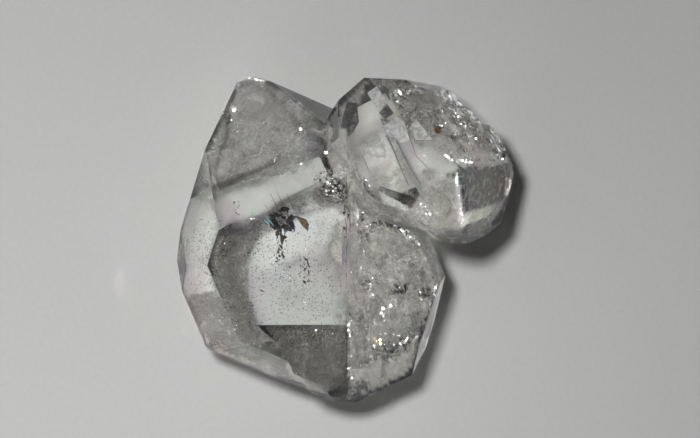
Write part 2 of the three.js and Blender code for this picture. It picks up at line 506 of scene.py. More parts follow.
def inside(x, y, depth):
    """The point that far along the sight line, kept short of the far side."""
    entry = enter(x, y)
    if entry is None:
        return None
    hit, _, way, room = entry
    if room < CLEARANCE * 2:
        return None
    return hit + way * min(max(depth, NEAREST), room - CLEARANCE)


def link(name, bm, material):
    """Makes a finished piece from millimetre geometry."""
    bmesh.ops.scale(bm, vec=(MM,) * 3, verts=bm.verts)
    bmesh.ops.recalc_face_normals(bm, faces=bm.faces)
    mesh = bpy.data.meshes.new(name)
    bm.to_mesh(mesh)
    bm.free()
    mesh.materials.append(material)
    return put(name, mesh)


print("the sight line at the window's middle goes", [round(x, 2) for x in enter(30, 28)[2]])

# %% [markdown]
# Most veils are healed cracks: sheets of tiny bubbles that lie across the crystal like smoke. A few
# dark ones are painted shade. Each one is a thin closed slab that follows its outline in the view, a
# little uneven in depth. It is laid out on a grid of sight lines and then thickened. Every place
# stores how near it is to the rim, where the veil fades out.

# %% How a veil is made
SLAB = 0.02
TORN, WAVES = 4, 0.45


def within(x, y, outline):
    """How far a place lies inside an outline, below zero outside."""
    nearest, odd = 1e9, False
    for (ax, ay), (bx, by) in zip(outline, outline[1:] + outline[:1]):
        if (ay > y) != (by > y) and x < (bx - ax) * (y - ay) / (by - ay) + ax:
            odd = not odd
        t = ((x - ax) * (bx - ax) + (y - ay) * (by - ay)) / ((bx - ax) ** 2 + (by - ay) ** 2)
        t = min(1.0, max(0.0, t))
        nearest = min(nearest, math.hypot(x - ax - t * (bx - ax), y - ay - t * (by - ay)))
    return nearest if odd else -nearest


def thicken(bm):
    """Turns a sheet into a slab: a twin behind each place, joined to it round the rim."""
    bmesh.ops.recalc_face_normals(bm, faces=bm.faces)
    bm.normal_update()
    rims = [e.link_loops[0] for e in bm.edges if e.is_boundary]
    walls = [(loop.vert, loop.link_loop_next.vert) for loop in rims]
    twins = {v: bm.verts.new(v.co - v.normal * SLAB, v) for v in bm.verts[:]}
    for f in bm.faces[:]:
        bm.faces.new([twins[v] for v in reversed(f.verts)])
    for a, b in walls:
        bm.faces.new([b, a, twins[a], twins[b]])


def veil(name, outline, depth, material, step, feather, relief=0.4, lean=(0, 0)):
    """A slab seen within the outline. lean deepens it per millimetre across and down the view."""
    bm = bmesh.new()
    fade = bm.verts.layers.float.new("fade")
    xs, ys = [p[0] for p in outline], [p[1] for p in outline]
    mid = (sum(xs) / len(xs), sum(ys) / len(ys))
    grid = {}
    for i in range(int((max(xs) - min(xs)) / step) + 2):
        for j in range(int((max(ys) - min(ys)) / step) + 2):
            x, y = min(xs) + i * step, min(ys) + j * step
            rim = within(x, y, outline)
            if rim <= -step:
                continue
            waves = relief * noise.noise(Vector((x * WAVES, y * WAVES, depth * 7)))
            point = inside(x, y, depth + lean[0] * (x - mid[0]) + lean[1] * (y - mid[1]) + waves)
            if point:
                grid[i, j] = bm.verts.new(point)
                grid[i, j][fade] = min(1.0, max(0.0, rim / feather))
    for i, j in grid:
        corners = [grid.get(k) for k in ((i, j), (i + 1, j), (i + 1, j + 1), (i, j + 1))]
        if all(corners):
            longest = max((a.co - b.co).length for a in corners for b in corners)
            if longest < step * TORN:
                bm.faces.new(corners)
    bmesh.ops.delete(bm, geom=[v for v in bm.verts if not v.link_faces], context="VERTS")
    for v in bm.verts:
        if v.is_boundary:
            v[fade] = 0.0
    thicken(bm)
    return link(name, bm, material)


print("a veil is", SLAB, "mm thick")

# %% [markdown]
# White veils are sheets of empty bubbles, which scatter light. Grey and brown ones also hold mud.
# The near-black ones are painted shade, and the streaked one also carries real streaks. The material
# is a cloud with a finer grit in it.

# %% What veils look like
def cloudy(name, colour, opacity, size, low, high, stretch=(1, 1, 1), grit_share=0.3):
    """Cloud in blotches of that many millimetres, clear below low and thickest above high."""
    material, tree, shader = new_material(name, Roughness=0.7, Base_Color=(*colour, 1))
    place = node(tree, "ShaderNodeTexCoord", output="Object")
    place = node(tree, "ShaderNodeMapping", None, {"Vector": place, "Scale": stretch})
    cloud = ramp(tree, grain(tree, place, size, 5.0, 0.65), low, high)
    grit = ramp(tree, grain(tree, place, size * 0.12, 2.0), 0.35, 0.65)
    fade = node(tree, "ShaderNodeAttribute", {"attribute_name": "fade"}, output="Fac")
    alpha = cloud * (grit * grit_share + (1 - grit_share)) * fade * opacity
    tree.links.new(alpha.socket, shader.inputs["Alpha"])
    return material


haze = cloudy("haze_veil", (0.95, 0.94, 0.90), 0.48, 2.8, 0.26, 0.70, grit_share=0.15)
milk = cloudy("milk_veil", (0.94, 0.92, 0.87), 0.68, 2.2, 0.22, 0.68)
ash = cloudy("ash_veil", (0.42, 0.41, 0.365), 0.62, 1.8, 0.16, 0.62, grit_share=0.5)
mottle = cloudy("mottled_veil", (0.50, 0.485, 0.44), 0.80, 0.8, 0.22, 0.62, grit_share=0.7)
# near-black painted shade
shade = cloudy("shaded_veil", (0.050, 0.046, 0.035), 0.95, 0.6, 0.26, 0.65, grit_share=0.45)
cream = cloudy("cream_veil", (0.82, 0.80, 0.72), 0.45, 1.3, 0.22, 0.68, grit_share=0.35)
chalky = cloudy("chalky_veil", (0.97, 0.96, 0.92), 0.85, 1.4, 0.12, 0.56, grit_share=0.25)
spotted = cloudy("spotted_veil", (0.24, 0.23, 0.21), 0.26, 0.9, 0.50, 0.70, grit_share=0.4)
dust = cloudy("dust_veil", (0.30, 0.29, 0.27), 0.08, 2.2, 0.42, 0.70, grit_share=0.35)
# near-black painted shade for dark bands
dark_shade = cloudy("dark_shade_veil", (0.06, 0.06, 0.057), 0.46, 2.0, 0.16, 0.66, grit_share=0.25)
# real streaks darkened with painted shade
streaks_and_shade = cloudy("streaks_and_shade_veil", (0.05, 0.048, 0.045), 0.5, 1.6, 0.38, 0.62, (1.6, 0.5, 0.5))
print("the streaked veil's material is", streaks_and_shade.name)

# %% [markdown]
# Milky veils fill the large crystal's head and lie under the contact field, where it grew against a
# neighbour. Mottled grey ones make the dull band left of the window. Dark ones are painted shade on the
# strip under the upper edge and along the head's lower edge, and painted shade over real streaks on the
# tail face. A small white one paints a soft glow of light in the head. The window itself stays nearly
# clear. A row gives a veil's outline in the view, depth, material, grid step and how far it takes to
# fade, and some add waves and a lean.

# %% Veils of the large crystal
HEAD = [(20.4, 12.6), (23.6, 8.6), (25.4, 8.2), (28, 9.4), (34, 15), (33, 15.6), (21.6, 19.2), (20, 18)]
BAND = [(21.5, 24), (27, 22), (25.2, 25.5), (24.8, 29), (25.6, 32.4), (26.4, 34.6), (23.5, 33), (21, 28)]
EDGE = [(22, 23.2), (33.5, 17.8), (34.6, 18), (34.6, 20.6), (31, 21.6), (25, 24.4), (22, 26)]
CONTACT = [
    (34.9, 20), (37, 20.6), (40, 22.5), (43, 25), (43.8, 28), (41.6, 33.6), (36, 37), (35, 36),
    (34.2, 31), (34.8, 28),
]
TAIL_DARK = [(26.4, 32.6), (34, 32.4), (34.9, 33.5), (34.8, 38.6), (33, 39.2), (30, 38.2), (28.6, 36)]
large_veils = (
    ("head", HEAD, 1.5, haze, 0.4, 2.0, 0.4, (0.1, 0.1)),
    ("head_deep",
     [(21, 12), (25, 9.6), (33, 15), (31, 18), (21, 20)], 5.0, haze, 0.4, 1.2, 1.0, (-0.2, 0.3)),
    ("left_band", BAND, 0.6, mottle, 0.4, 0.5),
    # painted shade: the dark band under the upper edge
    ("under_edge", EDGE, 0.8, dark_shade, 0.4, 0.4),
    # real streaks darkened with painted shade
    ("tail_dark", TAIL_DARK, 0.8, streaks_and_shade, 0.4, 0.4),
    ("tail_left",
     [(18.3, 29.7), (21.2, 29), (23.6, 30.6), (25.8, 33), (26, 34.8), (22, 35), (19.5, 34.6)],
     0.5, mottle, 0.3, 0.25),
    ("tail_low",
     [(19.4, 35), (25.6, 34.4), (29, 36.2), (31, 38.8), (28, 38.2), (22, 36.2)], 0.5, ash, 0.3, 0.25),
    ("tail_frost", TAIL_DARK, 0.4, ash, 0.4, 0.5),
    ("ledge",
     [(33.4, 20), (35.4, 19.8), (36.6, 24), (35.6, 27.6), (36.6, 31), (35.4, 33.4), (33, 32), (34, 28.6),
      (32.4, 25.4)], 0.3, milk, 0.25, 0.9),
    ("window_mottle", [(24.6, 24.4), (34.6, 20.8), (34.7, 32.3), (25, 32.4)], 1.4, dust, 0.4, 0.8, 0.8),
    ("contact_top", [(34.8, 20.2), (38, 21), (41.6, 24), (39, 26), (35.4, 25)], 0.8, milk, 0.4, 0.5),
    # painted glow: a soft patch of light in the head
    ("star", [(22.7, 10.6), (23.4, 10), (24.1, 10.5), (24, 11.4), (23.2, 11.7)], 0.7, chalky, 0.12, 0.7),
    ("contact", CONTACT, 1.6, milk, 0.4, 1.2, 0.8),
    ("contact_deep", CONTACT, 3.4, haze, 0.4, 1.2, 1.2, (0.2, 0.1)),
    ("tail_face",
     [(35.2, 37), (38.3, 35.6), (38.6, 39.4), (36.4, 40), (34.8, 39.6)], 0.5, chalky, 0.4, 0.4),
    ("tail_flat", [(38.2, 36.4), (42.4, 33.7), (41.2, 37.7), (38.6, 39.2)], 0.4, chalky, 0.4, 0.15),
    ("head_left",
     [(20.4, 12.9), (23, 9.4), (23, 12.4), (21.6, 16.8), (20.3, 18), (20.2, 15)], 0.4, haze, 0.25, 0.5),
    # painted shade along the head's lower edge
    ("head_brow", [(21.1, 18.5), (28, 15.7), (28.4, 16.2), (21.4, 19.5)], 0.35, dark_shade, 0.15, 0.4),
    ("head_crown",
     [(23.2, 9.2), (25.4, 8.6), (27.6, 9.6), (28.4, 12), (25, 13.2), (22.4, 12.2)], 0.5, haze, 0.3, 1.0),
    ("head_right", [(26.6, 8.6), (30, 9.6), (34.6, 12.4), (34.2, 15.2), (30, 12.6)], 0.6, haze, 0.3, 0.4),
    ("contact_spots", CONTACT, 0.5, spotted, 0.4, 0.5, 0.3),
)
veils = [veil(f"veil_{name}", *rest) for name, *rest in large_veils]
print("veils so far:", len(veils))

# %% [markdown]
# The small crystal's veils are pale and thin, and dark only behind its lower right face and in two
# small corners, where they are painted shade. One fills the notch and one the seam between the
# crystals. The last two run along the sides of the large crystal's contact field.

# %% Veils of the small crystal and the seam
small_veils = (
    ("small_top", [(33.4, 14.6), (38, 12.6), (42, 18), (39, 21), (34.4, 19)], 1.0, haze, 0.4, 1.2),
    ("small_brow", [(39, 8), (43, 8.4), (44.5, 13), (42.5, 16), (39.5, 12.4)], 0.8, ash, 0.4, 1.2),
    ("small_back",
     [(42.6, 8.6), (46.4, 9.4), (49.4, 13), (50.4, 15.6), (46, 15), (43, 12.4)], 0.4, ash, 0.3, 0.6),
    ("small_right",
     [(41.6, 8.4), (46.4, 9), (50, 14.4), (50.6, 16.2), (45, 16.4), (42.2, 14)],
     0.7, cream, 0.4, 0.5, 0.5),
    ("small_middle",
     [(41.4, 16.4), (44.8, 17), (45.8, 20), (45.8, 22.8), (43, 22.4), (42, 19)], 0.6, cream, 0.3, 0.7),
    # painted shade behind the lower right face
    ("small_shade",
     [(45.7, 17.4), (46.6, 16.6), (50.9, 16.2), (51.3, 18.6), (50.8, 20), (48.6, 20.8), (46.3, 21.4)],
     0.35, shade, 0.25, 0.35),
    ("small_end", [(46.2, 19.6), (51, 19), (50.6, 21), (48, 24), (46.6, 24)], 0.5, cream, 0.3, 0.6),
    ("small_foot",
     [(39.86, 19.4), (41.57, 18.57), (42, 19.4), (41, 21.1), (40.1, 20.4)], 0.4, shade, 0.12, 0.15),
    ("small_wedge", [(44.2, 17.2), (46.6, 16.6), (45.6, 17.9), (44.6, 17.9)], 0.4, shade, 0.1, 0.6),
    ("notch",
     [(32.6, 12.4), (34.8, 12.8), (35, 17.6), (33.4, 17.8), (32.6, 15.4)], 0.3, chalky, 0.2, 0.3),
    ("small_plate", [(38.4, 13.5), (39.6, 13.4), (42.2, 18.4), (41, 18.8)], 0.35, cream, 0.2, 0.12),
    ("seam",
     [(33.2, 12.8), (34.8, 14.4), (36, 18.4), (37.6, 21), (36, 21.6), (34.4, 20), (33.6, 17)],
     0.4, milk, 0.25, 0.4),
    ("small_low", [(42, 18.8), (45.6, 18), (46.4, 23.4), (43, 23.4), (38, 21.4)], 0.9, milk, 0.4, 0.6),
    ("small_front",
     [(33.6, 18.4), (35.6, 18.6), (42, 22.2), (44, 23.8), (41.6, 24.4), (37, 21.6), (34.4, 20.8)],
     0.6, milk, 0.4, 0.3),
    ("small_left",
     [(33, 10), (36.4, 6.8), (38.4, 7), (36.6, 9), (34.8, 13), (35.6, 17), (33.6, 17.6)],
     0.7, milk, 0.4, 0.3),
    ("right_side",
     [(42.4, 24.4), (44.2, 27.8), (43, 32), (41.4, 36.6), (40.4, 36), (42.6, 29), (41.8, 26)],
     0.6, milk, 0.3, 0.3),
    ("contact_edge", [(34.7, 32), (35.8, 32), (35.8, 39), (34.7, 39)], 0.5, milk, 0.4, 0.3),
)
veils += [veil(f"veil_{name}", *rest) for name, *rest in small_veils]
print("veils:", len(veils), "faces", sum(len(v.data.polygons) for v in veils))

# %% [markdown]
# Inside the small crystal, clean-edged panes paint its facets dark or light: the dark ones are painted
# shade and the light ones painted light. They are flat plates, a little patchy.

# %% Panes
def pane(name, outlines, depth, colour, opacity):
    """Flat plates seen within clean outlines."""
    bm = bmesh.new()
    for outline in outlines:
        points = [inside(x, y, depth) for x, y in outline]
        if all(points):
            bm.faces.new([bm.verts.new(p) for p in points])
    thicken(bm)
    material, tree, shader = new_material(name, Base_Color=(*colour, 1), Roughness=0.5)
    place = node(tree, "ShaderNodeTexCoord", output="Object")
    alpha = (ramp(tree, grain(tree, place, 0.55, 4.0, 0.6), 0.34, 0.66) * 0.7 + 0.55) * opacity
    tree.links.new(alpha.socket, shader.inputs["Alpha"])
    return link(name, bm, material)


# painted shade on facets
dark_panes = pane(
    "dark_panes",
    [
        [(34.7, 10.2), (35.7, 10.3), (35.9, 12.2), (35.4, 13.1), (34.5, 13.8), (33.8, 13.4), (34.3, 11.6)],
        [(36.3, 8.4), (37.7, 8.5), (36.7, 9.2)],
        [(37.9, 11.3), (38.7, 10.4), (39.4, 11.3), (38.5, 12.1)],
        [(37.9, 8.4), (38.9, 8.9), (39, 10.1)],
    ],
    0.4, (0.03, 0.03, 0.03), 0.56,
)
# painted light on facets
light_panes = pane(
    "light_panes",
    [
        [(36.7, 9.3), (37.7, 8.6), (38.7, 10.2), (37.9, 11.2)],
        [(37.9, 12.86), (39.7, 11.57), (40.4, 12.1), (41, 14.1), (40.1, 14.3), (38.6, 13.3)],
        [(40.9, 12.86), (41.6, 11.86), (42.7, 13.3), (43.3, 14), (41.6, 14)],
    ],
    0.5, (0.95, 0.95, 0.93), 0.8,
)
print("dark panes have", len(dark_panes.data.polygons), "faces")

# %% [markdown]
# Thin lines mark where one growth layer ended, and a few hair-thin fibres run through the window. All
# are fine closed tubes that follow places in the view. A run gives its places, depth and thickness.

# %% Growth lines and fibres
SIDES, TAPER, SPAN = 5, 0.35, 0.4


def tube(bm, points, radius):
    """A closed tube through points, tapered at both ends."""
    rings = []
    for i, point in enumerate(points):
        ahead = points[min(i + 1, len(points) - 1)] - points[max(i - 1, 0)]
        frame_x = ahead.orthogonal().normalized()
        frame_y = ahead.normalized().cross(frame_x)
        reach = radius * (TAPER if i in (0, len(points) - 1) else 1)
        ring = []
        for k in range(SIDES):
            angle = math.tau * k / SIDES
            side = frame_x * math.cos(angle) + frame_y * math.sin(angle)
            ring.append(bm.verts.new(point + side * reach))
        rings.append(ring)
    for one, two in zip(rings, rings[1:]):
        for k in range(SIDES):
            bm.faces.new([one[k], one[(k + 1) % SIDES], two[(k + 1) % SIDES], two[k]])
    bm.faces.new(rings[0][::-1])
    bm.faces.new(rings[-1])


def lines(name, runs, material):
    """Fine tubes that follow lines in the view. A run is its places, depth and thickness."""
    bm = bmesh.new()
    for places, depth, thickness in runs:
        dense = []
        for (ax, ay), (bx, by) in zip(places, places[1:]):
            steps = max(1, round(math.hypot(bx - ax, by - ay) / SPAN))
            dense += [(ax + (bx - ax) * k / steps, ay + (by - ay) * k / steps) for k in range(steps)]
        dense.append(places[-1])
        points = [inside(x, y, depth) for x, y in dense]
        if all(points) and len(points) > 1:
            tube(bm, points, thickness / 2)
    return link(name, bm, material)


umber = paint("umber_fibre", (0.05, 0.04, 0.03), 0.6)
growth_lines = lines(
    "growth_lines",
    [
        ([(38.57, 13.3), (39.2, 14.6), (39.9, 16.4), (40.9, 18.6)], 0.3, 0.09),
        ([(39.57, 14), (40.4, 15.6), (41, 16.8), (42.14, 18.57)], 0.3, 0.08),
        ([(33.86, 15.1), (34.4, 16.6)], 0.5, 0.05),
        ([(36, 15.1), (37, 17.3)], 0.5, 0.05),
        ([(43.4, 19), (44.7, 19.6), (45.2, 20.5), (44.6, 21.8)], 0.5, 0.06),
        ([(41.4, 8.6), (39.7, 11.3)], 0.4, 0.06),
        ([(42.4, 9.2), (40.6, 12.6)], 0.4, 0.05),
        ([(40.8, 13.2), (41.6, 15.6), (43, 17)], 0.4, 0.05),
    ],
    umber,
)
fibres = lines(
    "fibres",
    [
        ([(27, 19.3), (28, 21.3)], 1.0, 0.05),
        ([(27.6, 18.9), (28.6, 21.2)], 1.2, 0.05),
        ([(28.6, 19.3), (29.4, 20.9)], 1.0, 0.04),
        ([(26.4, 20.4), (27.4, 21.8)], 1.0, 0.04),
        ([(28.5, 33), (27.9, 33.8), (27.2, 34.5)], 0.3, 0.09),
        ([(30.2, 35.4), (29.6, 37)], 0.3, 0.06),
        ([(25.9, 28.95), (26.2, 29.1), (26.5, 29.2)], 0.8, 0.16),
        ([(34.7, 31.3), (34.95, 31.3), (35.05, 31.7)], 0.25, 0.22),
    ],
    umber,
)
print("growth lines:", len(growth_lines.data.polygons), "fibres:", len(fibres.data.polygons))

# %% [markdown]
# Fine cracks hang about in the quartz near the contact field and in the head. Some mirror the light
# and some only scatter it. They are strewn at random along lines in the view.

# %% Fine cracks
silver = paint("silver_crack", (0.9, 0.9, 0.9), 0.12, 1.0)
chalk = paint("chipped_edge", (0.93, 0.92, 0.88), 0.6)


def hairs(name, regions, material, thickest, seed):
    """Fine cracks strewn along lines in the view: from where, to where and how many."""
    draw = random.Random(seed)
    runs = []
    for (ax, ay), (bx, by), count in regions:
        for _ in range(count):
            along, angle = draw.random(), draw.uniform(0.2, 1.3)
            x = ax + (bx - ax) * along + draw.gauss(0, 1.0)
            y = ay + (by - ay) * along + draw.gauss(0, 1.0)
            reach = draw.uniform(0.5, 1.8)
            middle = (x + draw.gauss(0, 0.05), y + draw.gauss(0, 0.05))
            dx, dy = math.cos(angle) * reach / 2, -math.sin(angle) * reach / 2
            places = [(x - dx, y - dy), middle, (x + dx, y + dy)]
            runs.append((places, draw.uniform(0.3, 1.2), draw.uniform(0.5, 1.0) * thickest))
    return lines(name, runs, material)


silver_regions = [
    ((36, 30), (42, 26), 16),
    ((36.5, 36), (41, 31), 14),
    ((35.6, 24), (40, 23.4), 8),
    ((43, 11), (48, 14), 8),
]
hair_cracks = hairs("hair_cracks", silver_regions, silver, 0.05, 8)
pale_regions = [((22, 17), (32, 12), 22), ((24, 11), (27, 13), 6), ((37, 34), (41, 27), 14)]
pale_hairs = hairs("pale_hairs", pale_regions, chalk, 0.028, 9)
print("cracks:", len(hair_cracks.data.polygons), "pale ones:", len(pale_hairs.data.polygons))

# %% [markdown]
# The crystal's edges are chipped white in places where it rubbed against others. The chips are short
# pale dashes just under an edge, with gaps between them.

# %% Chipped edges
chipped = (
    ((45.7, 17.3), (46.0, 19.8), (46.3, 22.4)),
    ((21.5, 35.1), (23.4, 34.7), (25.5, 34.3)),
    ((28.8, 36.2), (29.5, 37.2), (30.1, 38)),
    ((40, 22.9), (41.2, 23.7), (42.5, 24.8)),
    ((35.05, 32.2), (35.1, 35), (35.05, 37.6)),
    ((43.3, 29.5), (43.8, 28)),
    ((22.4, 22.9), (27.5, 20.7), (33, 17.9)),
    ((26.8, 7.9), (28.6, 8.8)),
    ((34.0, 31.0), (34.8, 32.4)),
    ((32.2, 34.2), (33.4, 32.6)),
    ((31.2, 33.6), (31.9, 32.8)),
)
DASH, WORN_SHARE = 0.35, 0.85
draw = random.Random(12)
runs = []
for places in chipped:
    for (ax, ay), (bx, by) in zip(places, places[1:]):
        pieces = max(2, round(math.hypot(bx - ax, by - ay) / DASH))
        for k in range(pieces):
            if draw.random() < WORN_SHARE:
                start = (k + 0.2 * draw.random()) / pieces
                end = (k + 0.7 + 0.3 * draw.random()) / pieces
                slip = draw.gauss(0, 0.03)
                ends = [(ax + (bx - ax) * t + slip, ay + (by - ay) * t) for t in (start, end)]
                runs.append((ends, 0.12, draw.uniform(0.04, 0.11)))
chipped_edges = lines("chipped_edges", runs, chalk)
print("chips:", len(runs))

# %% [markdown]
# Iron has stained two thin cracks brown. Where a crack splits white light, it shows a spot of pure
# colour, and these few glints are short coloured lines just under the surface.

# %% Stained films and coloured glints
rust_film = pane(
    "rust_film",
    [[(29.6, 21.6), (30.6, 21.9), (30.9, 22.4), (30.8, 23.1), (30.3, 22.7)]],
    1.4, (0.17, 0.105, 0.04), 0.8,
)
ochre_film = pane(
    "ochre_film",
    [[(43.4, 12.9), (43.9, 12.5), (44.3, 12.6), (44.1, 13), (44.2, 13.3), (43.6, 13.3)]],
    0.4, (0.15, 0.075, 0.022), 0.85,
)
placed = [dark_panes, light_panes, growth_lines, fibres, hair_cracks, pale_hairs, chipped_edges]
placed += [rust_film, ochre_film]
GLINT_DEPTH, GLINT_WIDTH = 0.3, 0.08
for name, colour, runs in (
    (
        "green_glint",
        (0.10, 0.95, 0.55),
        [[(29.1, 14.35), (29.5, 14.75)], [(25.1, 20.7), (25.3, 21.3), (25.7, 21.7)]],
    ),
    ("magenta_glint", (0.85, 0.20, 0.80), [[(25.6, 22), (25.9, 21.8)]]),
    ("cyan_glint", (0.20, 0.80, 0.95), [[(26.5, 21.5), (27.3, 22.5)], [(26.4, 21.9), (26.8, 22.4)]]),
):
    tinted = paint(name, colour, 0.4)
    placed.append(lines(name, [(places, GLINT_DEPTH, GLINT_WIDTH) for places in runs], tinted))
print({piece.name: len(piece.data.polygons) for piece in placed})

# %% [markdown]
# Specks, flakes and small cracks are scattered by one Geometry Nodes tree. It strews points over a
# guide slab, more of them where a noise is high, moves each a little, and sets a small shape on it,
# turned and sized at random. Squaring the random number makes small ones the most common.

# %% The scatter tree
def scatter_tree():
    """The node tree that strews a shape over a guide."""
    tree = bpy.data.node_groups.new("strew", "GeometryNodeTree")
    wanted = {"Guide": "Geometry", "Shape": "Object", "Finish": "Material", "Seed": "Int"}
    wanted |= dict.fromkeys(("Density", "Small", "Large", "Drift", "Clump"), "Float")
    for name, kind in wanted.items():
        tree.interface.new_socket(name, in_out="INPUT", socket_type="NodeSocket" + kind)
    tree.interface.new_socket("Geometry", in_out="OUTPUT", socket_type="NodeSocketGeometry")
    entry = tree.nodes.new("NodeGroupInput")
    given = {name: Wire(tree, entry.outputs[name]) for name in wanted}
    seed, small = given["Seed"], given["Small"]

    def step(kind, output=0, **inputs):
        return node(tree, "GeometryNode" + kind, None, inputs, output)

    def chance(kind, first_socket, low, high, seed, output=0):
        ends = {first_socket: low, first_socket + 1: high, "Seed": seed}
        return node(tree, "FunctionNodeRandomValue", {"data_type": kind}, ends, output)

    clumps = ramp(tree, grain(tree, step("InputPosition"), 1.6, 2.0), given["Clump"], given["Clump"] + 0.12)
    density = given["Density"] * clumps
    points = step("DistributePointsOnFaces", Mesh=given["Guide"], Density=density, Seed=seed)
    way = chance("FLOAT_VECTOR", 0, (-1, -1, -1), (1, 1, 1), seed)
    drift = node(tree, "ShaderNodeVectorMath", {"operation": "SCALE"}, {0: way, "Scale": given["Drift"]})
    moved = step("SetPosition", Geometry=points, Offset=drift)
    turn = chance("FLOAT_VECTOR", 0, (0, 0, 0), (math.tau,) * 3, seed + 1)
    share = chance("FLOAT", 2, 0.0, 1.0, seed + 2, output=1)
    size = small + (given["Large"] - small) * (share * share)
    shape = step("ObjectInfo", "Geometry", Object=given["Shape"])
    strewn = step("InstanceOnPoints", Points=moved, Instance=shape, Rotation=turn, Scale=size)
    real = step("RealizeInstances", Geometry=strewn)
    done = step("SetMaterial", Geometry=real, Material=given["Finish"])
    leave = tree.nodes.new("NodeGroupOutput")
    tree.links.new(done.socket, leave.inputs["Geometry"])
    return tree


strew_tree = scatter_tree()
print("the scatter tree has", len(strew_tree.nodes), "nodes")

# %% [markdown]
# A scatter copies its guide slab, runs the tree over the copy and keeps the plain mesh that comes out.
# It scatters grains, which are lumpy balls, or flakes, which are nearly flat.

# %% Scattering, grains and flakes
PER_MM2 = 1e6
strew_ids = {item.name: item.identifier for item in strew_tree.interface.items_tree}


def strew(name, guide, shape, finish, density, small, large, drift, clump, seed):
    """Scatters over a guide object's mesh and returns a plain piece."""
    settings = {"Shape": shape, "Finish": finish, "Density": density * PER_MM2, "Clump": clump}
    settings |= {"Small": small * MM, "Large": large * MM, "Drift": drift * MM, "Seed": seed}
    holder = put(name, guide.data.copy())
    modifier = holder.modifiers.new("strew", "NODES")
    modifier.node_group = strew_tree
    for key, value in settings.items():
        modifier[strew_ids[key]] = value
    bpy.context.view_layer.update()
    seen = holder.evaluated_get(bpy.context.evaluated_depsgraph_get())
    mesh = bpy.data.meshes.new_from_object(seen)
    holder.modifiers.remove(modifier)
    mesh.name = name
    holder.data = mesh
    return holder


def lump(name, stretch, squash):
    """A few-faced grain of unit size."""
    bm = bmesh.new()
    bmesh.ops.create_icosphere(bm, subdivisions=1, radius=0.5)
    draw = random.Random(name)
    for v in bm.verts:
        v.co *= 0.75 + 0.5 * draw.random()
    bmesh.ops.scale(bm, vec=(1, stretch, squash), verts=bm.verts)
    mesh = bpy.data.meshes.new(name)
    bm.to_mesh(mesh)
    bm.free()
    return bpy.data.objects.new(name, mesh)


grain_shape = lump("grain_shape", 0.8, 0.7)
flake_shape = lump("flake_shape", 0.6, 0.06)
carbon = paint("carbon", (0.012, 0.011, 0.01), 0.5)
print("a grain has", len(grain_shape.data.vertices), "corners")

# %% [markdown]
# Carbon makes black specks in the window and the lobe, and the flake cluster in the middle. Brown
# flakes form streaks. The top, band and head hold bright cracks. A scatter's numbers are how many
# there are per square millimetre, the smallest and largest size, how far they drift, how clumped
# they are, and the random seed.

# %% Specks and flakes
GUIDE_FADE = 1.2
guide_plans = {
    "window": ([(24, 24), (34, 21), (34.6, 32.4), (25, 32.5)], 4.0, 2.0, 0.4),
    "lobe": ([(18.4, 22), (21.5, 22), (22, 29.5), (19.5, 31), (18.2, 28)], 2.0, 1.0, 0.4),
    "head": ([(20, 13), (24, 9.6), (28, 10.2), (34, 16), (33, 17), (22, 21), (20.4, 20)], 1.5, 1.0, 0.4),
    "top": (
        [(31.6, 17.6), (33.2, 17.2), (34.7, 18.4), (34.5, 20.4), (33.4, 19.8), (32, 18.8)],
        0.4, 0.2, 0.2,
    ),
    "brow": ([(27, 9), (30.5, 11), (34, 14.6), (33, 15.4), (29, 12)], 0.4, 0.3, 0.4),
    "band": (
        [(21.5, 24), (27, 22), (25.5, 26), (25, 32), (26, 34.5), (23.5, 32.5), (21, 28)],
        0.35, 0.3, 0.4,
    ),
    "tail": (
        [(18.6, 29.9), (21.2, 29.4), (25.6, 33), (25.6, 34.4), (21, 36), (19.5, 34.4)],
        0.3, 0.2, 0.4,
    ),
    "cluster": (
        [(27.2, 21.8), (28.2, 21), (29.8, 21.4), (29.2, 22.8), (28.4, 24), (27.8, 23.4)],
        1.2, 0.3, 0.15,
    ),
    "singles": ([(23.4, 20.1), (23.9, 20.1), (23.9, 21.4), (23.4, 21.4)], 1.0, 0.3, 0.12),
    "streak_one": ([(27.7, 23.4), (28.5, 23.4), (28.2, 26.4), (27.9, 26.6)], 1.6, 0.3, 0.12),
    "streak_two": ([(30.5, 26), (30.9, 25.8), (30.8, 28.1), (30.4, 28.3)], 1.8, 0.3, 0.1),
    "streak_three": ([(32.8, 22.8), (33.1, 22.8), (33, 25.2), (32.7, 25.2)], 1.4, 0.3, 0.1),
    "contact": (CONTACT, 0.9, 0.6, 0.4),
    "hole": ([(36.2, 28.3), (36.8, 28.2), (36.9, 28.9), (36.3, 29.1)], 0.4, 0.2, 0.1),
}
guides = {
    name: veil(f"guide_{name}", outline, depth, carbon, step, GUIDE_FADE, relief)
    for name, (outline, depth, relief, step) in guide_plans.items()
}
